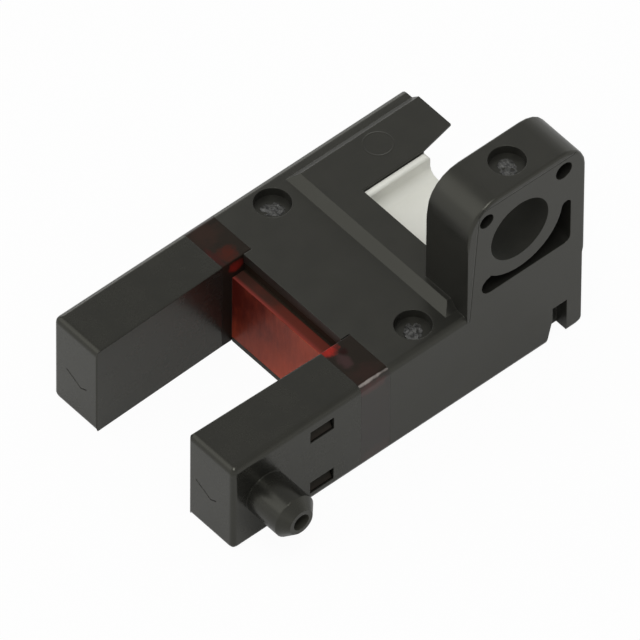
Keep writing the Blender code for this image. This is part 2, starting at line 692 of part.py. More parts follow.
def pin_drop():
    """The X place where the socket pins turn down into the board."""
    return SOCKET_START + PIN_BEND


def connector_shell():
    """The white socket: two raised side walls, an open mouth and a slot for the pins."""
    low, high = SOCKET_CENTRE - SOCKET_HALF, SOCKET_CENTRE + SOCKET_HALF
    foot = BOARD_TOP + FIT
    deck_z = SOCKET_TOP - SOCKET_DECK_DROP
    edge = 0.45 * SOCKET_WALL
    corners = [(low, foot, 0), (high, foot, 0), (high, SOCKET_TOP, SMALL_RADIUS),
               (high - SOCKET_WALL, SOCKET_TOP, edge), (high - SOCKET_WALL, deck_z, SOCKET_FILLET),
               (low + SOCKET_WALL, deck_z, SOCKET_FILLET), (low + SOCKET_WALL, SOCKET_TOP, edge),
               (low, SOCKET_TOP, SMALL_RADIUS)]
    shell = prism("connector_shell", rounded(corners), (SOCKET_START, SOCKET_END), "X", socket_white)
    mouth_z = (deck_z - SOCKET_WALL - MOUTH_HEIGHT, deck_z - SOCKET_WALL)
    mouth = block("mouth", (SOCKET_END - SOCKET_MOUTH_DEPTH, SOCKET_END + BEYOND),
                  (low + SOCKET_WALL, high - SOCKET_WALL), mouth_z)
    back_face = SOCKET_END - SOCKET_MOUTH_DEPTH - SOCKET_BACK
    span = (PIN_COUNT - 1) / 2 * PIN_PITCH + PIN_WIDTH
    pin_bay = block("pin_bay", (SOCKET_START - BEYOND, back_face),
                    (SOCKET_CENTRE - span, SOCKET_CENTRE + span), (0, PIN_HEIGHT + PIN_WIDTH))
    centre = (SOCKET_END - SOCKET_CORNER_RADIUS, SOCKET_TOP - SOCKET_CORNER_RADIUS)
    corner = arc(centre, SOCKET_CORNER_RADIUS, 90, 0, ROUND_STEPS)
    corner += [(SOCKET_END + BEYOND, centre[1]), (SOCKET_END + BEYOND, SOCKET_TOP + BEYOND),
               (centre[0], SOCKET_TOP + BEYOND)]
    wall_corner = prism("wall_corner", corner, (low - BEYOND, high + BEYOND), "Y")
    carve(shell, mouth, pin_bay, wall_corner, *key_slots(low, high))
    half = PIN_WIDTH / 2 + FIT
    for i in range(PIN_COUNT):
        y = pin_place(i)
        carve(shell, block(f"pin_{i + 1}_passage", (back_face - BEYOND, SOCKET_END),
                           (y - half, y + half), (PIN_HEIGHT - half, PIN_HEIGHT + half)))
    return shell


def key_slots(low, high):
    """Two blind grooves in the mouth's roof that let only the right plug in."""
    roof = SOCKET_TOP - SOCKET_DECK_DROP
    cutters = []
    for name, y in (("low_key", low + KEY_INSET), ("high_key", high - KEY_INSET)):
        cutters.append(block(name, (SOCKET_END - KEY_LENGTH, SOCKET_END + BEYOND),
                             (y - KEY_WIDTH / 2, y + KEY_WIDTH / 2),
                             (roof - 1.5 * SOCKET_WALL, roof - SOCKET_WALL / 2)))
    return cutters


def wire(name, start, bend, height, foot, y, width, material):
    """A square wire that runs level and then turns down through the board."""
    half = width / 2
    corners = [(start, height + half, 0), (start, height - half, 0), (bend - half, height - half, half / 2),
               (bend - half, foot, 0), (bend + half, foot, 0), (bend + half, height + half, width)]
    if start > bend:
        corners = [(start, height - half, 0), (start, height + half, 0), (bend - half, height + half, width),
                   (bend - half, foot, 0), (bend + half, foot, 0), (bend + half, height - half, half / 2)]
    return prism(name, rounded(corners), (y - half, y + half), "Y", material)


def connector_pins():
    """Tinned pins, from the socket's mouth down through the board."""
    tip = SOCKET_END - SOCKET_MOUTH_DEPTH + PIN_REACH
    for i in range(PIN_COUNT):
        wire(f"connector_pin_{i + 1}", tip, pin_drop(), PIN_HEIGHT, BOARD_HEIGHT - LEAD_TAIL,
             pin_place(i), PIN_WIDTH, tinned)


def lead_rows():
    """Each optical part's side of the slot and the heights of its leads."""
    return {"emitter": (1, [MIDDLE - LEAD_PITCH, MIDDLE + LEAD_PITCH]),
            "receiver": (-1, [MIDDLE - LEAD_PITCH, MIDDLE, MIDDLE + LEAD_PITCH])}


def lead_y(side):
    """The Y place of the leads, a little behind the package's face."""
    return side * (PACKAGE_FACE + LEAD_DEPTH)


def lead_places():
    """Name, X and Y of each lead where it drops through the board."""
    places = []
    for part, (side, heights) in lead_rows().items():
        for i in range(len(heights)):
            x = BOARD_START + (1.5 + 2 * i) * LEAD_PITCH
            places.append((f"{part}_lead_{i + 1}", x, lead_y(side)))
    return places


def optical_leads():
    """Tinned leads from the emitter and the receiver to the board."""
    start = AXIS_POSITION + PACKAGE_LENGTH / 2 + FIT
    heights = [z for _, row in lead_rows().values() for z in row]
    for (name, x, y), z in zip(lead_places(), heights):
        wire(name, start, x, z, BOARD_HEIGHT - LEAD_TAIL, y, LEAD_WIDTH, tinned)


def package(name, side, material):
    """An optical package with a low round lens that looks across the slot."""
    face, back = side * PACKAGE_FACE, side * (CAVITY_OUTER - PACKAGE_BACK)
    x = (AXIS_POSITION - PACKAGE_LENGTH / 2, AXIS_POSITION + PACKAGE_LENGTH / 2)
    z = (MIDDLE - PACKAGE_HEIGHT / 2, MIDDLE + PACKAGE_HEIGHT / 2)
    body = block(name, x, sorted((face, back)), z, material)
    sphere = (LENS_RADIUS ** 2 + LENS_RISE ** 2) / (2 * LENS_RISE)
    middle = face + side * (sphere - LENS_RISE)
    limit = math.asin(LENS_RADIUS / sphere)
    inside = face + side * LEAD_DEPTH
    profile = [(0, inside), (LENS_RADIUS, inside)]
    for k in range(HOLE_STEPS // 4, -1, -1):
        angle = limit * 4 * k / HOLE_STEPS
        profile.append((sphere * math.sin(angle), middle - side * sphere * math.cos(angle)))
    join(body, turned(name + "_lens", profile, (AXIS_POSITION, MIDDLE), "Y", HOLE_STEPS))


def package_holder(name, side):
    """A black frame that fills the arm's tip and keeps the package square to the slot."""
    inner, outer = CAVITY_INNER + FIT, CAVITY_OUTER - FIT
    x = (COVER_WALL + FIT, HOLDER_END)
    holder = block(name, x, sorted((side * inner, side * outer)),
                   (COVER_WALL + FIT, BODY_HEIGHT - COVER_WALL - FIT), holder_black)
    through = sorted((side * (inner - BEYOND), side * (outer + BEYOND)))
    seat_x = (AXIS_POSITION - PACKAGE_LENGTH / 2 - FIT, AXIS_POSITION + PACKAGE_LENGTH / 2 + FIT)
    seat_z = (MIDDLE - PACKAGE_HEIGHT / 2 - FIT, MIDDLE + PACKAGE_HEIGHT / 2 + FIT)
    reach = LEAD_PITCH + LEAD_WIDTH / 2 + HOLE_PLAY
    seat = block(name + "_seat", seat_x, through, seat_z)
    passage = block(name + "_passage", (AXIS_POSITION, HOLDER_END + BEYOND),
                    sorted((side * (lead_y(1) - LEAD_WIDTH / 2 - HOLE_PLAY), side * (outer + BEYOND))),
                    (MIDDLE - reach, MIDDLE + reach))
    carve(holder, seat, passage)


def chip(name, x, y, size, material):
    """A small part on the board: its centre, and its length, width and height."""
    foot = BOARD_TOP + FIT
    length, width, height = size
    block(name, (x - length / 2, x + length / 2), (y - width / 2, y + width / 2),
          (foot, foot + height), material)


def amplifier_chip(x, y):
    """The signal chip with its rows of bent legs."""
    length, width, height = AMPLIFIER_SIZE
    foot = BOARD_TOP + FIT
    body = block("amplifier_ic", (x - length / 2, x + length / 2), (y - width / 2, y + width / 2),
                 (foot + LEG_THICKNESS / 2, foot + height), holder_black)
    for side, label in ((1, "left"), (-1, "right")):
        inside = y + side * (width / 2 - LEG_THICKNESS)
        bend, end = y + side * (width + LEG_REACH) / 2, y + side * (width / 2 + LEG_REACH)
        low, high = foot + height / 2 - LEG_THICKNESS, foot + height / 2
        outline = [(inside, high), (bend, high), (bend, foot + LEG_THICKNESS), (end, foot + LEG_THICKNESS),
                   (end, foot), (bend - side * LEG_THICKNESS, foot), (bend - side * LEG_THICKNESS, low),
                   (inside, low)]
        for i in range(LEG_COUNT):
            at = x + (i - (LEG_COUNT - 1) / 2) * LEG_PITCH
            join(body, prism(f"{label}_leg_{i + 1}", outline, (at - LEG_WIDTH / 2, at + LEG_WIDTH / 2), "X"))


def board_parts():
    """The parts on top of the board: the chip in the middle, the small ones beside it."""
    amplifier_chip(BOARD_MIDDLE, 0)
    first = AMPLIFIER_SIZE[1] / 2 + LEG_REACH + PART_SPACE + CAPACITOR_SIZE[1] / 2
    second = first + CAPACITOR_SIZE[1] / 2 + PART_SPACE + RESISTOR_SIZE[1] / 2
    pitch = CAPACITOR_SIZE[0] / 2 + PART_SPACE + RESISTOR_SIZE[0] / 2
    chip("capacitor_1", BOARD_MIDDLE, first, CAPACITOR_SIZE, capacitor_tan)
    chip("resistor_1", BOARD_MIDDLE + pitch, first, RESISTOR_SIZE, resistor_black)
    chip("indicator_led", BOARD_MIDDLE - pitch, first, LAMP_SIZE, lamp_amber)
    chip("resistor_2", BOARD_MIDDLE + pitch, second, RESISTOR_SIZE, resistor_black)
    chip("resistor_3", BOARD_MIDDLE, second, RESISTOR_SIZE, resistor_black)
    chip("output_transistor", BOARD_MIDDLE - PART_SPACE, -first, TRANSISTOR_SIZE, holder_black)
    chip("capacitor_2", BOARD_MIDDLE + TRANSISTOR_SIZE[0], -first, CAPACITOR_SIZE, capacitor_tan)


clear_scene()
carrier = bpy.data.objects.new("photo_sensor", None)
bpy.context.collection.objects.link(carrier)
carrier.location = (-TOTAL_LENGTH / 2, PEG_LENGTH / 2, 0)

housing_black = make_material("housing_black", (0.012, 0.012, 0.011), 0.32)
filter_black = make_material("filter_black", (0.010, 0.010, 0.009), 0.25)
plate_black = make_material("plate_black", (0.014, 0.014, 0.013), 0.45)
holder_black = make_material("holder_black", (0.015, 0.015, 0.015), 0.6)
red_filter = make_material("red_filter", (0.22, 0.012, 0.008), 0.15)
socket_white = make_material("socket_white", (0.62, 0.63, 0.57), 0.4)
board_green = make_material("board_green", (0.02, 0.11, 0.05), 0.5)
tinned = make_material("tinned", (0.72, 0.72, 0.70), 0.28, 1.0)
emitter_clear = make_material("emitter_clear", (0.25, 0.32, 0.50), 0.1)
receiver_dark = make_material("receiver_dark", (0.02, 0.02, 0.03), 0.12)
lamp_amber = make_material("lamp_amber", (0.75, 0.25, 0.05), 0.3)
resistor_black = make_material("resistor_black", (0.03, 0.03, 0.03), 0.5)
capacitor_tan = make_material("capacitor_tan", (0.45, 0.30, 0.17), 0.5)

arm_cover("left_arm_cover", 1)
right_cover = arm_cover("right_arm_cover", -1)
add_peg(right_cover)
light_core()
rear_housing()
bottom_plate()
circuit_board()
connector_shell()
connector_pins()
package("emitter_led", 1, emitter_clear)
package("receiver_ic", -1, receiver_dark)
package_holder("emitter_holder", 1)
package_holder("receiver_holder", -1)
optical_leads()
board_parts()
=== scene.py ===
import math

import bmesh
import bpy
from mathutils import Matrix, Vector


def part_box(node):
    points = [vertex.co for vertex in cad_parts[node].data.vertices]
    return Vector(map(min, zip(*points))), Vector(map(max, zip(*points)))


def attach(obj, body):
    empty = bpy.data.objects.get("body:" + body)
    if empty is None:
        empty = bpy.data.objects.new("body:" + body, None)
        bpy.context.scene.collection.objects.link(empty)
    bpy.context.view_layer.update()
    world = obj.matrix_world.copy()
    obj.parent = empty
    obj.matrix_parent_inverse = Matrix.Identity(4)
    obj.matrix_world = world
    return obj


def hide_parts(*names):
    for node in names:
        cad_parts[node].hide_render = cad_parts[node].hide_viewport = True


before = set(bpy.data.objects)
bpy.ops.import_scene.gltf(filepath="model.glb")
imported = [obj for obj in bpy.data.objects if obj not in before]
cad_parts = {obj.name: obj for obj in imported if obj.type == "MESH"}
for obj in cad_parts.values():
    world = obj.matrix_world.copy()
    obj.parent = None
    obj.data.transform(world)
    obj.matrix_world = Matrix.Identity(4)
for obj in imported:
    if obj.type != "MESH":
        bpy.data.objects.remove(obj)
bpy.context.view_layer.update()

MM = 0.001


# Camera: a long lens that looks down at the arm tips and the peg's side, as the photo does.
# The part's outline was matched to the photo, and these are the angles that came out.
AZIMUTH = math.radians(-41.467)
ELEVATION = math.radians(49.045)
ROLL = math.radians(0.465)
CAMERA_DISTANCE = 2.3
CLIP_START = 0.1
CLIP_END = 20.0
PIXELS_PER_METRE = 11990.0
IMAGE_WIDTH = 640
SENSOR_WIDTH = 36.0
AIM_FROM_TIPS = 19.5 * MM
AIM_HEIGHT = 4.8 * MM
AIM_SHIFT_PIXELS = (0.267, 0.076)

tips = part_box("left_arm_cover")[0][0]
body_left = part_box("rear_housing")[1][1]
body_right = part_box("rear_housing")[0][1]
body_middle = (body_left + body_right) / 2

backwards = Vector((math.sin(AZIMUTH) * math.cos(ELEVATION),
                    -math.cos(AZIMUTH) * math.cos(ELEVATION), math.sin(ELEVATION)))
level_right = Vector((math.cos(AZIMUTH), math.sin(AZIMUTH), 0))
level_up = backwards.cross(level_right)
right = level_right * math.cos(ROLL) + level_up * math.sin(ROLL)
up = level_up * math.cos(ROLL) - level_right * math.sin(ROLL)
aim = Vector((tips + AIM_FROM_TIPS, body_middle, AIM_HEIGHT))
aim += (right * AIM_SHIFT_PIXELS[0] + up * AIM_SHIFT_PIXELS[1]) / PIXELS_PER_METRE

lens = bpy.data.cameras.new("photo_camera")
lens.sensor_width = SENSOR_WIDTH
lens.lens = SENSOR_WIDTH * PIXELS_PER_METRE * CAMERA_DISTANCE / IMAGE_WIDTH
lens.clip_start = CLIP_START
lens.clip_end = CLIP_END
camera = bpy.data.objects.new("photo_camera", lens)
camera.matrix_world = Matrix.Translation(aim + backwards * CAMERA_DISTANCE) @ Matrix(
    (right, up, backwards)).transposed().to_4x4()
bpy.context.scene.collection.objects.link(camera)
bpy.context.scene.camera = camera
bpy.context.scene.view_settings.view_transform = "Standard"


# Floor: a pale board just under the sensor. To the camera it is nearly all glow, so it looks
# white and keeps only a faint shadow; glossy faces see far less of the glow.
class Value:
    """One output of a material's node, which Python's operators can work on."""

    def __init__(self, finish, socket):
        self.finish, self.socket = finish, socket

    def maths(self, operation, *others):
        return self.finish.node("Math", {"operation": operation}, dict(enumerate((self, *others))))

    def __add__(self, other):
        return self.maths("ADD", other)

    def __sub__(self, other):
        return self.maths("SUBTRACT", other)

    def __mul__(self, other):
        return self.maths("MULTIPLY", other)

    def __truediv__(self, other):
        return self.maths("DIVIDE", other)

    def __rsub__(self, other):
        return self.finish.node("Math", {"operation": "SUBTRACT"}, {0: other, 1: self})

    def __abs__(self):
        return self.maths("ABSOLUTE")

    def __lt__(self, other):
        return self.maths("LESS_THAN", other)

    def __gt__(self, other):
        return self.maths("GREATER_THAN", other)

    __radd__ = __add__
    __rmul__ = __mul__

    def smallest(self, other):
        return self.maths("MINIMUM", other)

    def largest(self, other):
        return self.maths("MAXIMUM", other)

    def rise(self, low, high):
        """0 up to one place and 1 past the other, with a soft step between them."""
        return self.finish.node("MapRange", {"interpolation_type": "SMOOTHSTEP"},
                                {"Value": self, "From Min": low, "From Max": high})


class Finish:
    """One material: its nodes, and the places that its patterns are worked out from."""

    def __init__(self, name):
        self.material = bpy.data.materials.new(name)
        self.material.use_nodes = True
        self.nodes = self.material.node_tree.nodes
        self.links = self.material.node_tree.links
        self.shader = self.nodes["Principled BSDF"]
        self.output = self.nodes["Material Output"]

    def node(self, kind, settings, inputs, output=0):
        """Make a node: its settings first, then the values or links of its inputs."""
        made = self.nodes.new("ShaderNode" + kind)
        for name, value in settings.items():
            setattr(made, name, value)
        for key, value in inputs.items():
            self.feed(made.inputs[key], value)
        return Value(self, made.outputs[output])

    def feed(self, socket, value):
        """Link a value to a socket, or set the socket to a number or a colour."""
        if isinstance(value, Value):
            self.links.new(value.socket, socket)
        else:
            socket.default_value = value

    def place(self):
        """The piece's own coordinates, in metres, as one vector."""
        return self.node("TexCoord", {}, {}, "Object")

    def axes(self, vector):
        """A vector's x, y and z."""
        return [self.node("SeparateXYZ", {}, {0: vector}, axis) for axis in "XYZ"]

    def stretched(self, vector, squeeze):
        """A vector with each axis squeezed, which stretches a noise along it."""
        return self.node("VectorMath", {"operation": "MULTIPLY"}, {0: vector, 1: squeeze})

    def noise(self, vector, size, detail=2.0, rough=0.5):
        """Smooth noise from 0 to 1 whose lumps are about one size, in metres."""
        return self.node("TexNoise", {}, {"Vector": vector, "Scale": 1 / size, "Detail": detail,
                                          "Roughness": rough}, "Fac")

    def mix(self, share, first, second):
        """A colour that goes from the first to the second as the share goes from 0 to 1."""
        return self.node("Mix", {"data_type": "RGBA"}, {0: share, 6: first, 7: second}, 2)

    def bump(self, height, depth, normal=None):
        """A surface normal bent by a height, where 1 stands for the depth in metres."""
        inputs = {"Height": height, "Distance": depth, "Strength": 1.0}
        if normal is not None:
            inputs["Normal"] = normal
        return self.node("Bump", {}, inputs)

    def set(self, **inputs):
        """Feed the shader; an input's name is given in small letters with underscores."""
        for name, value in inputs.items():
            self.feed(self.shader.inputs[name.replace("_", " ").title().replace("Ior", "IOR")], value)


FLOOR_SIZE = 6.0
FLOOR_LEVEL = -0.02 * MM
FLOOR_COLOUR = (0.66, 0.66, 0.655, 1)
FLOOR_GLOW_SEEN = 0.96
FLOOR_GLOW_REFLECTED = 0.12
FLOOR_CORNERS = ((-1, -1), (1, -1), (1, 1), (-1, 1))

floor_finish = Finish("floor_board")
board = floor_finish.node("BsdfDiffuse", {}, {"Color": FLOOR_COLOUR})
glow = floor_finish.node("Emission", {}, {"Color": (1, 1, 1, 1), "Strength": 1.0})
seen = floor_finish.node("LightPath", {}, {}, "Is Camera Ray")
glossy = floor_finish.node("LightPath", {}, {}, "Is Glossy Ray")
through = floor_finish.node("LightPath", {}, {}, "Is Transmission Ray")
glow_share = FLOOR_GLOW_SEEN * seen + FLOOR_GLOW_REFLECTED * (glossy + through)
shown = floor_finish.node("MixShader", {}, {0: glow_share, 1: board, 2: glow})
floor_finish.feed(floor_finish.output.inputs["Surface"], shown)

floor_mesh = bpy.data.meshes.new("floor")
reach = FLOOR_SIZE / 2
corners = [(across * reach, along * reach, FLOOR_LEVEL) for across, along in FLOOR_CORNERS]
floor_mesh.from_pydata(corners, [], [(0, 1, 2, 3)])
floor_mesh.materials.append(floor_finish.material)
floor = bpy.data.objects.new("floor", floor_mesh)
bpy.context.scene.collection.objects.link(floor)


# Light: a white studio tent that is dimmer overhead, and three wide soft lamps.
# Each lamp's brightness is what a face that mirrors it would show, where 1 is white.
TENT_HORIZON = 1.0
TENT_TOP = 0.5
TENT_TURN = 0.75

world = bpy.data.worlds.new("tent")
world.use_nodes = True
bpy.context.scene.world = world
sky = world.node_tree
direction = sky.nodes.new("ShaderNodeTexCoord")
height = sky.nodes.new("ShaderNodeSeparateXYZ")
fade = sky.nodes.new("ShaderNodeMapRange")
fade.interpolation_type = "SMOOTHSTEP"
fade.inputs["From Max"].default_value = TENT_TURN
fade.inputs["To Min"].default_value = TENT_HORIZON
fade.inputs["To Max"].default_value = TENT_TOP
sky.links.new(direction.outputs["Generated"], height.inputs[0])
sky.links.new(height.outputs["Z"], fade.inputs["Value"])
sky.links.new(fade.outputs["Result"], sky.nodes["Background"].inputs["Strength"])
sky.nodes["Background"].inputs["Color"].default_value = (1, 1, 1, 1)


def soft_lamp(name, azimuth, elevation, distance, size, brightness):
    """A square lamp that faces the part from one side."""
    lamp = bpy.data.lights.new(name, "AREA")
    lamp.size = size
    lamp.energy = brightness * math.pi * size * size
    a, e = math.radians(azimuth), math.radians(elevation)
    towards = Vector((math.sin(a) * math.cos(e), -math.cos(a) * math.cos(e), math.sin(e)))
    carrier = bpy.data.objects.new(name, lamp)
    carrier.location = towards * distance
    carrier.rotation_euler = towards.to_track_quat("Z", "Y").to_euler()
    bpy.context.scene.collection.objects.link(carrier)


soft_lamp("overhead_lamp", azimuth=-41, elevation=72, distance=1.1, size=0.5, brightness=6.5)
soft_lamp("rear_lamp", azimuth=150, elevation=18, distance=1.2, size=0.5, brightness=1.6)
soft_lamp("side_lamp", azimuth=-134, elevation=41, distance=1.2, size=0.85, brightness=1.0)


# Arm covers: two hollow caps moulded in a black plastic that lets infrared light through.
# They snap over the arms of the core, and the right one carries the locating peg.
COVER_COLOUR = (0.010, 0.010, 0.009)
COVER_ROUGHNESS = 0.24
PEG_POSITION = 3.6 * MM
PEG_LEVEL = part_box("rear_housing")[0][2] + 5.05 * MM
PEG_BORE_RADIUS = 0.9 * MM
PEG_BORE_DEPTH = 3.2 * MM
# The peg bore's paler colour is painted light down in the bore.
PEG_BORE_PAINTED_LIGHT = (0.030, 0.030, 0.025)
PEG_BORE_ROUGHNESS = 0.6
GRAIN_SIZE = 0.06 * MM
GRAIN_DEPTH = 0.0006 * MM
GRAIN_DULLNESS = 0.05
CLOUD_SIZE = 2.2 * MM
CLOUD_LEAST = 0.8
CLOUD_SWING = 0.4
TINT_DARK = 0.8
TINT_LIGHT = (1.25, 1.2, 1.1)
SINK_SIZE = 6.0 * MM
SINK_DEPTH = 0.03 * MM
EDGE_WEAR = 0.09 * MM
GLOSS_TINT = (1.0, 1.0, 0.86, 1)
WELD_GAP = 0.001 * MM
FLAT_ANGLE = math.radians(0.4)
SHARP_ANGLE = math.radians(32)


def worn_edges(finish):
    """The surface's normal, with every sharp edge softened a little."""
    return finish.node("Bevel", {"samples": 4}, {"Radius": EDGE_WEAR})


def black_plastic(name, colour, roughness, grain=1.0, seed=0.0, marks=None):
    """Moulded black plastic: cloudy gloss, fine grain, shallow sinks and softened edges."""
    finish = Finish(name)
    place = finish.place()
    shifted = finish.node("VectorMath", {"operation": "ADD"}, {0: place, 1: (seed, 2 * seed, -seed)})
    cloud = finish.noise(shifted, CLOUD_SIZE, 3.0, 0.6)
    fine = finish.noise(shifted, GRAIN_SIZE, 2.0, 0.7)
    sink = finish.noise(shifted, SINK_SIZE, 1.0)
    shade = CLOUD_LEAST + CLOUD_SWING * cloud
    dark = tuple(share * TINT_DARK for share in colour) + (1,)
    light = tuple(share * more for share, more in zip(colour, TINT_LIGHT)) + (1,)
    finish.set(base_color=finish.mix(cloud, dark, light),
               roughness=roughness * shade + GRAIN_DULLNESS * fine, specular_tint=GLOSS_TINT)
    surface = worn_edges(finish)
    if marks is not None:
        surface = marks(finish, finish.axes(place), surface)
    sunk = finish.bump(sink, SINK_DEPTH, surface)
    finish.set(normal=finish.bump(fine, GRAIN_DEPTH * grain, sunk))
    return finish


def moulding(name, node, sharp=SHARP_ANGLE):
    """A merged and smoothly shaded copy of a solid, which stands for it in the picture."""
    bm = bmesh.new()
    bm.from_mesh(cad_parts[node].data)
    bmesh.ops.remove_doubles(bm, verts=bm.verts, dist=WELD_GAP)
    bmesh.ops.dissolve_limit(bm, angle_limit=FLAT_ANGLE, verts=bm.verts, edges=bm.edges)
    mesh = bpy.data.meshes.new(name)
    bm.to_mesh(mesh)
    bm.free()
    for imported in ("custom_normal", "sharp_edge", "sharp_face"):
        if imported in mesh.attributes:
            mesh.attributes.remove(mesh.attributes[imported])
    mesh.materials.clear()
    mesh.update()
    mesh.shade_smooth()
    mesh.set_sharp_from_angle(angle=sharp)
    piece = bpy.data.objects.new(name, mesh)
    bpy.context.scene.collection.objects.link(piece)
    even = piece.modifiers.new("even_shading", "WEIGHTED_NORMAL")
    even.keep_sharp = True
    even.weight = 100
    return piece


def stand_in(piece, node, finish):
    """Give a piece its finish and put it in its solid's place."""
    if not piece.data.materials:
        piece.data.materials.append(finish.material)
    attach(piece, "root")
    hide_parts(node)


def dull_bore(piece, finish, axis_x, axis_z, radius, end):
    """Give the faces of a bore along Y a duller finish of their own, as far as its end. Its
    colour is painted light and shade inside the bore.
    """
    piece.data.materials.append(finish.material)
    inside = {corner.index for corner in piece.data.vertices if corner.co.y < end
              and math.hypot(corner.co.x - tips - axis_x, corner.co.z - axis_z) < radius}
    for face in piece.data.polygons:
        if inside.issuperset(face.vertices):
            face.material_index = len(piece.data.materials) - 1


cover_finish = black_plastic("infrared_black", COVER_COLOUR, COVER_ROUGHNESS)
# The peg's bore is paler inside: painted light down in the bore, with a duller finish.
peg_bore_finish = black_plastic("peg_bore_painted_light", PEG_BORE_PAINTED_LIGHT, PEG_BORE_ROUGHNESS, grain=2.0, seed=0.007)
for side in ("left", "right"):
    cover = moulding(side + "_cover_moulding", side + "_arm_cover")
    cover.data.materials.append(cover_finish.material)
    if side == "right":
        dull_bore(cover, peg_bore_finish, PEG_POSITION, PEG_LEVEL, PEG_BORE_RADIUS,
                  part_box("right_arm_cover")[0][1] + PEG_BORE_DEPTH)
    stand_in(cover, side + "_arm_cover", cover_finish)


# Light core: one moulding that carries both arms. The wall and ledge of the slot's root are
# clear red, and the shoulders nearly black, with red where their plastic is thin. The glow is
# painted as colour, in places that count from the tips and the middle. So are a painted
# highlight along the ledge's front edge and along the right shoulder's outer top edge, and
# painted shade on the riser under the lip and on the latches deep in the covers' windows.
CORE_BLACK = (0.012, 0.0085, 0.0065, 1)
CORE_BROWN = (0.018, 0.012, 0.008, 1)
CORE_DEEP = (0.050, 0.0030, 0.0020, 1)
CORE_BRIGHT = (0.63, 0.098, 0.046, 1)
CORE_LEDGE = (0.105, 0.022, 0.015, 1)
CORE_LEDGE_DIM = (0.048, 0.019, 0.014, 1)
CORE_RIDGE_HIGHLIGHT = (0.200, 0.034, 0.027, 1)
CORE_RISER_SHADE = (0.018, 0.012, 0.008, 1)
CORE_ROUGHNESS = 0.36
CORE_GLOSS = 0.14
WALL_HALF = 6.20 * MM
WALL_DEPTH = 15.24 * MM
RIDGE_DEPTH = 15.7 * MM
RISER_DEPTH = 16.42 * MM
LEDGE_LEVEL = 7.95 * MM
GLOW_RIGHT = 0.55
GLOW_LOW = 0.40
GLOW_FADE = 0.8
GLOW_CLOUD = 0.3
GLOW_STREAK = 0.35
GLOW_LEAST = 0.04
STREAK_SQUEEZE = (1.0, 1.0, 0.25)
STREAK_SIZE = 0.5 * MM
LEDGE_CLOUD = 0.8
LEDGE_FADE = (0.05, 0.6)
SHOULDER_FADE = (0.4, 0.8)
SHOULDER_SHARE = 0.5
RAGGEDNESS = 2.6
RAG_SIZE = 0.7 * MM
PATCH_FADE = (-0.1, 1.5)
ARM_REACH = 13.0 * MM
LATCH_DEPTH = 0.75 * MM
LATCH_SHADE = (0.004, 0.004, 0.003, 1)
LATCH_DULLNESS = 0.3
CORE_CLOUD_DULLNESS = 0.1
CORE_SINK_SIZE = 4.0 * MM
FRONT_SEAM = 14.14 * MM
REAR_SEAM = 17.26 * MM
SEAM_PRESS = 0.034 * MM
SAME_PLANE = 0.01 * MM
CORE_POLISH = 0.45 * MM
CORE_COAT = 0.6
# Painted red glow where the shoulders are thin, brown tints, a pale grey-pink patch, a dark
# red spot, and a painted highlight along the right shoulder's outer top edge. Each patch: its
# centre and its reach in millimetres, then its colour.
PATCHES_WITH_PAINTED_LIGHT = (
    ((14.03, 7.80, 10.1), (0.26, 0.30, 0.5), (0.110, 0.010, 0.012, 1)),
    ((15.50, 7.15, 10.1), (0.95, 0.90, 0.5), (0.050, 0.007, 0.003, 1)),
    ((14.25, 7.40, 10.1), (0.50, 1.40, 0.5), (0.034, 0.006, 0.005, 1)),
    ((15.30, 9.90, 10.1), (1.60, 1.40, 0.5), (0.022, 0.011, 0.008, 1)),
    ((15.60, 6.20, 9.20), (0.75, 0.30, 0.65), (0.170, 0.012, 0.009, 1)),
    ((14.75, -6.40, 10.0), (0.90, 0.75, 1.2), (0.260, 0.013, 0.009, 1)),
    ((15.02, -8.20, 10.1), (0.60, 0.95, 0.5), (0.036, 0.018, 0.018, 1)),
    ((15.70, -7.35, 10.1), (0.42, 0.40, 0.5), (0.012, 0.001, 0.001, 1)),
    ((15.40, -10.30, 10.1), (1.80, 1.10, 0.5), (0.020, 0.010, 0.008, 1)),
    ((15.20, -11.40, 9.4), (1.80, 0.45, 0.6), (0.040, 0.012, 0.010, 1)),
    ((16.00, -11.40, 1.0), (2.00, 0.45, 0.8), (0.022, 0.012, 0.009, 1)),
    # Painted highlight along the right shoulder's outer top edge.
    ((15.40, -11.05, 10.0), (1.95, 0.13, 0.5), (0.220, 0.195, 0.180, 1)),
)


def patch(axes, centre, reach, ragged):
    """1 at a patch's centre and 0 past its reach, with a soft and ragged rim between."""
    off = [(axis - (start + at * MM)) / (size * MM)
           for axis, start, at, size in zip(axes, (tips, body_middle, 0.0), centre, reach)]
    spread = off[0] * off[0] + off[1] * off[1] + off[2] * off[2]
    return 1.0 - (spread + RAGGEDNESS * (ragged - 0.5)).rise(*PATCH_FADE)


def press_seams(piece):
    """Bring the core's shoulders close against their neighbours, so no light shows between."""
    for corner in piece.data.vertices:
        if abs(corner.co.x - tips - FRONT_SEAM) < SAME_PLANE:
            corner.co.x -= SEAM_PRESS
        elif abs(corner.co.x - tips - REAR_SEAM) < SAME_PLANE:
            corner.co.x += SEAM_PRESS


core_finish = Finish("deep_red")
place = core_finish.place()
x, y, z = core_finish.axes(place)
depth = x - tips
aside = abs(y - body_middle)
half_width = (body_left - body_right) / 2
cloud = core_finish.noise(place, CLOUD_SIZE, 3.0, 0.6)
ragged = core_finish.noise(place, RAG_SIZE, 4.0, 0.65)
streak = core_finish.noise(core_finish.stretched(place, STREAK_SQUEEZE), STREAK_SIZE, 3.0, 0.6)

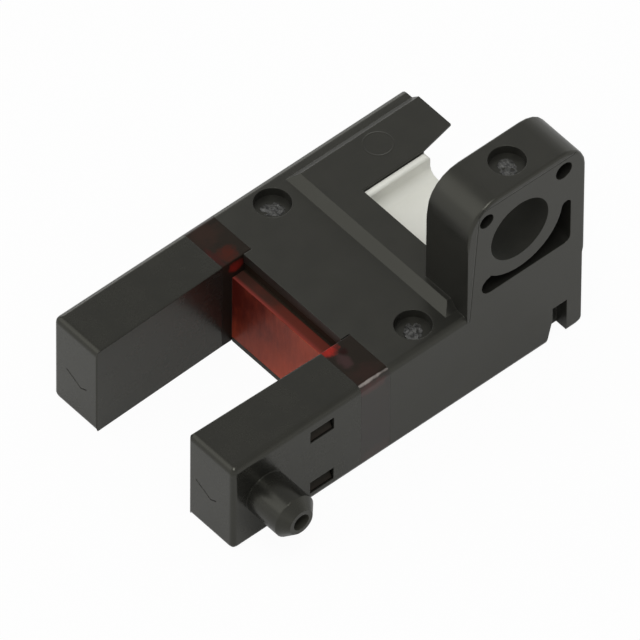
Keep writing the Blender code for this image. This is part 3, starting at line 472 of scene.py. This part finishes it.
# The wall's painted glow: brighter towards the right and towards the floor, with clouds and streaks.
to_right = 1.0 - ((y - body_middle) / (2 * WALL_HALF) + 0.5).rise(0.0, 1.0)
to_floor = 1.0 - (z / LEDGE_LEVEL).rise(0.0, GLOW_FADE)
glow = GLOW_RIGHT * to_right + GLOW_LOW * to_floor + GLOW_CLOUD * (cloud - 0.5)
glow = glow + GLOW_STREAK * (streak - 0.5)
wall = core_finish.mix(glow.largest(GLOW_LEAST), CORE_DEEP, CORE_BRIGHT)
# The ledge's painted glow, dimmer towards the left.
ledge_light = (to_right + LEDGE_CLOUD * (cloud - 0.5)).rise(*LEDGE_FADE)
ledge = core_finish.mix(ledge_light, CORE_LEDGE_DIM, CORE_LEDGE)
# A painted bright red highlight along the ledge's front edge.
ledge = core_finish.mix(depth.rise(RIDGE_DEPTH, WALL_DEPTH), ledge, CORE_RIDGE_HIGHLIGHT)
wall = core_finish.mix((depth > WALL_DEPTH) * (z > LEDGE_LEVEL), wall, ledge)
# Painted shade on the riser under the lip.
wall = core_finish.mix(depth > RISER_DEPTH, wall, CORE_RISER_SHADE)
shoulder = core_finish.mix(cloud.rise(*SHOULDER_FADE) * SHOULDER_SHARE, CORE_BLACK, CORE_BROWN)
tint = core_finish.mix(aside < WALL_HALF, shoulder, wall)
for centre, size, colour in PATCHES_WITH_PAINTED_LIGHT:
    tint = core_finish.mix(patch((x, y, z), centre, size, ragged), tint, colour)
# Painted shade: the latches in the covers' windows go near black where they lie deeper.
in_window = (depth < ARM_REACH) * (1.0 - aside.rise(half_width - LATCH_DEPTH, half_width))
tint = core_finish.mix(in_window, tint, LATCH_SHADE)
dull = CORE_ROUGHNESS + CORE_CLOUD_DULLNESS * (cloud - 0.5) + LATCH_DULLNESS * in_window
sink = core_finish.noise(place, CORE_SINK_SIZE, 1.0)
core_finish.set(base_color=tint, roughness=dull, specular_ior_level=CORE_GLOSS,
                specular_tint=GLOSS_TINT, coat_roughness=CORE_ROUGHNESS,
                coat_weight=CORE_COAT * (depth > ARM_REACH) * (aside > half_width - CORE_POLISH),
                normal=core_finish.bump(sink, SINK_DEPTH, worn_edges(core_finish)))
core = moulding("core_moulding", "light_core")
press_seams(core)
stand_in(core, "light_core", core_finish)


# Housing: the black moulding that holds the rest together, with its raised deck, its left
# leg and the upright lug for the mounting screw. It is satin. Three round pits carry the
# torn nubs of the mould's gates, and a faint parting line runs round the lug's outer face.
HOUSING_COLOUR = (0.012, 0.012, 0.011)
HOUSING_ROUGHNESS = 0.3
HOUSING_SHARP = math.radians(30)
# Centres of the pits' rims: millimetres behind the tips, left of the middle, and up.
PITS = ((22.0, 8.9, 10.1), (22.0, -8.9, 10.1), (32.35, -8.775, 22.95))
PIT_RADIUS = 1.65 * MM
PIT_DEPTH = 0.85 * MM
PIT_INSIDE = 0.99
PIT_SLOPE = 0.8
PIT_WALL = 0.97
PIT_RING = 0.97
PIT_EDGE = 1.7 * MM
PIT_CORNER = 0.3 * MM
NUB_COLOUR = (0.075, 0.075, 0.070, 1)
NUB_ROUGHNESS = 0.4
NUB_RADIUS = 1.0 * MM
NUB_OVAL = 0.8
NUB_RISE = 0.08
NUB_LUMPS = 0.50 * MM
NUB_TEAR = 0.46 * MM
NUB_SEED = 4
NUB_GRAIN_SIZE = 0.3 * MM
NUB_GRAIN_DEPTH = 0.05 * MM
NUB_GRAIN_DULLNESS = 0.1
NUB_FADE = (0.35, 0.65)
# Corners of the parting line: millimetres behind the tips, and up.
PARTING_LINE = ((26.04, 9.6), (26.9, 21.3), (27.05, 22.0), (27.5, 22.36), (37.7, 22.24))
PARTING_WIDTH = 0.09 * MM
PARTING_CORE = 0.3
MARK_FADE = (0.02 * MM, 0.12 * MM)
MARK_DEPTH = 0.14 * MM
LUG_BORE_PLACE = (31.5 * MM, 17.25 * MM)
LUG_BORE_RADIUS = 3.19 * MM
LUG_BORE_END = body_right + 5.3 * MM
# The lug bore's darker colour is painted shade inside the bore.
LUG_BORE_SHADE_COLOUR = (0.005, 0.005, 0.0045)
LUG_BORE_ROUGHNESS = 0.8
EJECTOR_PLACE = (32.5 * MM, 7.5 * MM)
EJECTOR_RADIUS = 1.3 * MM
EJECTOR_RISE = 0.1
EJECTOR_LEVEL = 10.9 * MM


def pit_places():
    """The pits' centres at the level of the face round them, in the shared frame."""
    return [Vector((tips + x * MM, body_middle + y * MM, z * MM)) for x, y, z in PITS]


def deepen_pits(piece):
    """Give the pits steeper walls and a lower floor than the solid's plain ones."""
    for vertex in piece.data.vertices:
        for centre in pit_places():
            away = Vector((vertex.co.x - centre.x, vertex.co.y - centre.y))
            drop = centre.z - vertex.co.z
            if away.length > PIT_RADIUS * PIT_INSIDE or not SAME_PLANE < drop < PIT_RADIUS:
                continue
            share = 1.0 if away.length < PIT_RADIUS * PIT_SLOPE else PIT_RING
            away = away.normalized() * PIT_RADIUS * PIT_WALL
            vertex.co = (centre.x + away.x, centre.y + away.y, centre.z - PIT_DEPTH * share)
    piece.data.set_sharp_from_angle(angle=HOUSING_SHARP)


def gate_nubs():
    """Geometry nodes that add a torn nub at each of three places to what they are given."""
    group = bpy.data.node_groups.new("gate_nubs", "GeometryNodeTree")
    sockets = group.interface
    sockets.new_socket("Geometry", in_out="INPUT", socket_type="NodeSocketGeometry")
    for name, kind in (("Nub Radius", "Float"), ("Lump Size", "Float"), ("Tear Depth", "Float"),
                       ("Flatness", "Float"), ("Seed", "Int"), ("Finish", "Material"),
                       ("First Place", "Vector"), ("Second Place", "Vector"), ("Third Place", "Vector")):
        sockets.new_socket(name, in_out="INPUT", socket_type="NodeSocket" + kind)
    sockets.new_socket("Geometry", in_out="OUTPUT", socket_type="NodeSocketGeometry")

    def make(kind, **inputs):
        made = group.nodes.new(kind)
        for name, value in inputs.items():
            socket = made.inputs[name.replace("_", " ")]
            if isinstance(value, bpy.types.NodeSocket):
                group.links.new(value, socket)
            else:
                socket.default_value = value
        return made

    given = group.nodes.new("NodeGroupInput").outputs
    places = group.nodes.new("GeometryNodeJoinGeometry")
    for name in ("First Place", "Second Place", "Third Place"):
        point = make("GeometryNodePoints", Count=1, Position=given[name])
        group.links.new(point.outputs[0], places.inputs[0])
    ball = make("GeometryNodeMeshIcoSphere", Radius=given["Nub Radius"], Subdivisions=4)
    turn = group.nodes.new("FunctionNodeRandomValue")
    turn.data_type = "FLOAT"
    turn.inputs[3].default_value = 2 * math.pi
    group.links.new(given["Seed"], turn.inputs["Seed"])
    spin = make("ShaderNodeCombineXYZ", Z=turn.outputs[1])
    flat = make("ShaderNodeCombineXYZ", X=1.0, Y=NUB_OVAL, Z=given["Flatness"])
    nubs = make("GeometryNodeInstanceOnPoints", Points=places.outputs[0], Instance=ball.outputs[0],
                Rotation=spin.outputs[0], Scale=flat.outputs[0])
    real = make("GeometryNodeRealizeInstances", Geometry=nubs.outputs[0])
    spot = group.nodes.new("GeometryNodeInputPosition")
    density = make("ShaderNodeMath")
    density.operation = "DIVIDE"
    density.inputs[0].default_value = 1.0
    group.links.new(given["Lump Size"], density.inputs[1])
    lumps = make("ShaderNodeTexNoise", Vector=spot.outputs[0], Scale=density.outputs[0], Detail=3.0)
    centred = make("ShaderNodeVectorMath")
    centred.operation = "SUBTRACT"
    centred.inputs[1].default_value = (0.5, 0.5, 0.5)
    group.links.new(lumps.outputs["Color"], centred.inputs[0])
    torn = make("ShaderNodeVectorMath")
    torn.operation = "SCALE"
    group.links.new(centred.outputs[0], torn.inputs[0])
    group.links.new(given["Tear Depth"], torn.inputs["Scale"])
    moved = make("GeometryNodeSetPosition", Geometry=real.outputs[0], Offset=torn.outputs[0])
    dressed = make("GeometryNodeSetMaterial", Geometry=moved.outputs[0], Material=given["Finish"])
    whole = group.nodes.new("GeometryNodeJoinGeometry")
    group.links.new(given["Geometry"], whole.inputs[0])
    group.links.new(dressed.outputs[0], whole.inputs[0])
    group.links.new(whole.outputs[0], group.nodes.new("NodeGroupOutput").inputs[0])
    return group


def add_nubs(piece, torn):
    """Run the nubs' nodes on a piece once and keep the mesh that comes out."""
    group = gate_nubs()
    nodes = piece.modifiers.new("gate_nubs", "NODES")
    nodes.node_group = group
    floors = [centre - Vector((0, 0, PIT_DEPTH)) for centre in pit_places()]
    values = {"Nub Radius": NUB_RADIUS, "Lump Size": NUB_LUMPS, "Tear Depth": NUB_TEAR,
              "Flatness": NUB_RISE, "Seed": NUB_SEED, "Finish": torn.material,
              "First Place": floors[0], "Second Place": floors[1], "Third Place": floors[2]}
    for socket in group.interface.items_tree:
        if socket.name in values and socket.in_out == "INPUT":
            nodes[socket.identifier] = values[socket.name]
    view = bpy.context.evaluated_depsgraph_get()
    made = bpy.data.meshes.new_from_object(piece.evaluated_get(view), depsgraph=view)
    piece.modifiers.clear()
    piece.data = made


def near_line(u, v, points, width):
    """1 on a line through points and 0 away from it; u and v are places in metres."""
    nearest = None
    for (u0, v0), (u1, v1) in zip(points, points[1:]):
        du, dv = (u1 - u0) * MM, (v1 - v0) * MM
        along = ((u - u0 * MM) * du + (v - v0 * MM) * dv) * (1 / (du * du + dv * dv))
        along = along.largest(0.0).smallest(1.0)
        off_u, off_v = u - u0 * MM - along * du, v - v0 * MM - along * dv
        off = (off_u * off_u + off_v * off_v).maths("SQRT")
        nearest = off if nearest is None else nearest.smallest(off)
    return 1.0 - nearest.rise(PARTING_CORE * width, width)


def housing_marks(finish, axes, surface):
    """Sharp corners down in the pits, the lug's parting line and the ejector's ring."""
    x, y, z = axes
    in_pit = 0.0
    for centre in pit_places():
        off_x, off_y = x - centre.x, y - centre.y
        in_pit += (off_x * off_x + off_y * off_y < PIT_EDGE ** 2) * (z < centre.z - PIT_CORNER)
    plain = finish.node("NewGeometry", {}, {}, "Normal")
    surface = finish.node("Mix", {"data_type": "VECTOR"}, {0: in_pit, 4: surface, 5: plain}, 1)
    on_side = 1.0 - (y - body_right).rise(*MARK_FADE)
    parting = near_line(x - tips, z, PARTING_LINE, PARTING_WIDTH) * on_side
    off_x, off_y = x - tips - EJECTOR_PLACE[0], y - body_middle - EJECTOR_PLACE[1]
    ring = abs((off_x * off_x + off_y * off_y).maths("SQRT") - EJECTOR_RADIUS)
    ring = (1.0 - ring.rise(*MARK_FADE)) * (z > EJECTOR_LEVEL) * (y > body_middle)
    return finish.bump(EJECTOR_RISE * ring - parting, MARK_DEPTH, surface)


housing_finish = black_plastic("housing_black", HOUSING_COLOUR, HOUSING_ROUGHNESS,
                               grain=1.5, seed=0.013, marks=housing_marks)
housing = moulding("housing_moulding", "rear_housing", HOUSING_SHARP)
deepen_pits(housing)
torn = Finish("torn_plastic")
lump = torn.noise(torn.place(), NUB_GRAIN_SIZE, 3.0, 0.6)
torn.set(base_color=torn.mix(lump.rise(*NUB_FADE), HOUSING_COLOUR + (1,), NUB_COLOUR),
         roughness=NUB_ROUGHNESS + NUB_GRAIN_DULLNESS * lump,
         normal=torn.bump(lump, NUB_GRAIN_DEPTH))
housing.data.materials.append(housing_finish.material)
# The lug's bore is darker inside: painted shade, with a duller finish.
bore_finish = black_plastic("lug_bore_painted_shade", LUG_BORE_SHADE_COLOUR, LUG_BORE_ROUGHNESS, grain=2.0, seed=0.019)
dull_bore(housing, bore_finish, *LUG_BORE_PLACE, LUG_BORE_RADIUS, LUG_BORE_END)
add_nubs(housing, torn)
stand_in(housing, "rear_housing", housing_finish)


# Bottom plate: a thin black plate that closes the underside. Its front edge shows as a dark
# line under the red wall. It is matt, with the fine grain of an etched tool.
PLATE_COLOUR = (0.014, 0.014, 0.013)
PLATE_ROUGHNESS = 0.5

plate_finish = black_plastic("plate_black", PLATE_COLOUR, PLATE_ROUGHNESS, grain=4.0, seed=0.031)
plate = moulding("plate_moulding", "bottom_plate")
stand_in(plate, "bottom_plate", plate_finish)


# Plug socket: a satin moulding between the left leg and the lug, with an open mouth at the
# rear for the plug. It is a warm white that varies a little, with a very fine grain.
SOCKET_COLOUR = (0.74, 0.74, 0.675)
SOCKET_SHADES = (0.93, 1.05)
SOCKET_ROUGHNESS = 0.34
SOCKET_CLOUD_SIZE = 3.0 * MM
SOCKET_CLOUD_DULLNESS = 0.12
SOCKET_GRAIN_SIZE = 0.05 * MM
SOCKET_GRAIN_DEPTH = 0.0008 * MM

socket_finish = Finish("socket_white")
place = socket_finish.place()
cloud = socket_finish.noise(place, SOCKET_CLOUD_SIZE, 3.0)
fine = socket_finish.noise(place, SOCKET_GRAIN_SIZE, 2.0)
dark, light = [tuple(share * shade for share in SOCKET_COLOUR) + (1,) for shade in SOCKET_SHADES]
socket_finish.set(base_color=socket_finish.mix(cloud, dark, light),
                  roughness=SOCKET_ROUGHNESS + SOCKET_CLOUD_DULLNESS * cloud,
                  normal=socket_finish.bump(fine, SOCKET_GRAIN_DEPTH, worn_edges(socket_finish)))
socket = moulding("socket_moulding", "connector_shell")
stand_in(socket, "connector_shell", socket_finish)


# Pins and leads: square wire, drawn and then tinned, so it is silvery with fine streaks and
# small dull spots. They are shown as the solids are, each with the same finish.
TIN_BRIGHT = (0.78, 0.78, 0.76, 1)
TIN_DULL = (0.62, 0.61, 0.58, 1)
TIN_ROUGHNESS = 0.18
DRAWN_SQUEEZE = (0.08, 1.0, 1.0)
DRAWN_SIZE = 0.05 * MM
DRAWN_DEPTH = 0.001 * MM
DRAWN_DULLNESS = 0.15
SPOT_SIZE = 0.4 * MM
SPOT_FADE = (0.45, 0.7)
SPOT_DULLNESS = 0.12


def dress(names, finish):
    """Give solids that are shown as they are a finish of this script's own."""
    for node in names:
        for place_for_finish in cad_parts[node].material_slots:
            place_for_finish.material = finish.material


tin = Finish("tin_plate")
place = tin.place()
streak = tin.noise(tin.stretched(place, DRAWN_SQUEEZE), DRAWN_SIZE, 2.0)
spot = tin.noise(place, SPOT_SIZE, 2.0).rise(*SPOT_FADE)
tin.set(base_color=tin.mix(spot, TIN_BRIGHT, TIN_DULL), metallic=1.0,
        roughness=TIN_ROUGHNESS + DRAWN_DULLNESS * streak + SPOT_DULLNESS * spot,
        normal=tin.bump(streak, DRAWN_DEPTH))
dress(["connector_pin_1", "connector_pin_2", "connector_pin_3", "emitter_lead_1", "emitter_lead_2",
       "receiver_lead_1", "receiver_lead_2", "receiver_lead_3"], tin)


# Circuit board: glass cloth in resin under green lacquer, with copper tracks that show
# through it as slightly raised, lighter lines. Its sawn edges are bare resin and glass.
TRACK_PITCH = 1.27 * MM
TRACK_FADE = (0.28, 0.34)
BEND_SIZE = 6.0 * MM
BEND_REACH = 1.5 * MM
WEAVE_PITCH = 0.35 * MM
LACQUER_DEPTH = 0.03 * MM
LACQUER_DARK = (0.012, 0.075, 0.032, 1)
LACQUER_LIGHT = (0.030, 0.150, 0.070, 1)
LACQUER_GLOSS = 0.32
LAYER_PITCH = 0.12 * MM
LAYER_SQUEEZE = (0.08, 0.08, 1.0)
LAYER_FADE = (0.3, 0.7)
LAMINATE_DARK = (0.10, 0.09, 0.035, 1)
LAMINATE_LIGHT = (0.24, 0.21, 0.10, 1)
LAMINATE_ROUGHNESS = 0.6
WEAVE_DULLNESS = 0.05
WEAVE_RISE = 0.15
LAYER_RISE = 0.3
BOARD_RELIEF = 0.02 * MM

board_finish = Finish("board_green")
place = board_finish.place()
x, y, z = board_finish.axes(place)
bend = board_finish.noise(place, BEND_SIZE, 1.0) * BEND_REACH
lane = abs(((y + bend) / TRACK_PITCH).maths("FRACT") - 0.5)
track = (0.5 - lane).rise(*TRACK_FADE)
turns = 2 * math.pi / WEAVE_PITCH
weave = (x * turns).maths("SINE") * (y * turns).maths("SINE")
lacquer = board_finish.mix(track, LACQUER_DARK, LACQUER_LIGHT)
board_low, board_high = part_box("circuit_board")
on_face = (z < board_low[2] + LACQUER_DEPTH).largest(z > board_high[2] - LACQUER_DEPTH)
layer = board_finish.noise(board_finish.stretched(place, LAYER_SQUEEZE), LAYER_PITCH, 2.0, 0.6)
laminate = board_finish.mix(layer.rise(*LAYER_FADE), LAMINATE_DARK, LAMINATE_LIGHT)
relief = on_face * (track + WEAVE_RISE * weave) + LAYER_RISE * layer
board_finish.set(base_color=board_finish.mix(on_face, laminate, lacquer),
                 roughness=LAMINATE_ROUGHNESS - on_face * (LACQUER_GLOSS - WEAVE_DULLNESS * weave),
                 normal=board_finish.bump(relief, BOARD_RELIEF))
dress(["circuit_board"], board_finish)


# Optical parts: a clear emitter, a receiver in dark infrared resin, and the two black
# frames that hold them square to the slot.
EMITTER_DARK = (0.20, 0.27, 0.45, 1)
EMITTER_LIGHT = (0.32, 0.38, 0.55, 1)
EMITTER_ROUGHNESS = 0.08
EMITTER_CLOUD_SIZE = 0.8 * MM
EMITTER_CLOUD_DULLNESS = 0.06
EMITTER_CLOUD_DEPTH = 0.01 * MM
RECEIVER_COLOUR = (0.018, 0.016, 0.030)
RECEIVER_ROUGHNESS = 0.12
HOLDER_COLOUR = (0.015, 0.015, 0.015)
HOLDER_ROUGHNESS = 0.55

emitter_finish = Finish("clear_resin")
cloud = emitter_finish.noise(emitter_finish.place(), EMITTER_CLOUD_SIZE, 3.0)
emitter_finish.set(base_color=emitter_finish.mix(cloud, EMITTER_DARK, EMITTER_LIGHT),
                   roughness=EMITTER_ROUGHNESS + EMITTER_CLOUD_DULLNESS * cloud,
                   normal=emitter_finish.bump(cloud, EMITTER_CLOUD_DEPTH))
dress(["emitter_led"], emitter_finish)

receiver_finish = black_plastic("dark_resin", RECEIVER_COLOUR, RECEIVER_ROUGHNESS, grain=0.5, seed=0.047)
dress(["receiver_ic"], receiver_finish)

holder_finish = black_plastic("holder_black", HOLDER_COLOUR, HOLDER_ROUGHNESS, grain=4.0, seed=0.059)
dress(["emitter_holder", "receiver_holder"], holder_finish)


# Small parts on the board: two matt black chips, an amber lamp, three resistors with dark
# glass over their film, and two capacitors in tan ceramic.
FLECK_SIZE = 0.12 * MM
FLECK_FADE = (0.35, 0.7)
FLECK_DEPTH = 0.004 * MM
FLECK_DULLNESS = 0.15
AMBER = (0.75, 0.25, 0.05, 1)
AMBER_FLECK = (0.85, 0.36, 0.10, 1)
GLASS = (0.025, 0.025, 0.028, 1)
GLASS_FLECK = (0.05, 0.05, 0.05, 1)
TAN = (0.42, 0.28, 0.16, 1)
TAN_FLECK = (0.50, 0.34, 0.20, 1)


def ceramic(name, colour, fleck, roughness):
    """Fired ceramic with small flecks and a slightly uneven face."""
    finish = Finish(name)
    flecks = finish.noise(finish.place(), FLECK_SIZE, 3.0, 0.7)
    finish.set(base_color=finish.mix(flecks.rise(*FLECK_FADE), colour, fleck),
               roughness=roughness + FLECK_DULLNESS * flecks,
               normal=finish.bump(flecks, FLECK_DEPTH))
    return finish


dress(["amplifier_ic", "output_transistor"], holder_finish)
dress(["indicator_led"], ceramic("amber_lens", AMBER, AMBER_FLECK, roughness=0.15))
dress(["resistor_1", "resistor_2", "resistor_3"],
      ceramic("resistor_glass", GLASS, GLASS_FLECK, roughness=0.35))
dress(["capacitor_1", "capacitor_2"], ceramic("capacitor_tan", TAN, TAN_FLECK, roughness=0.45))
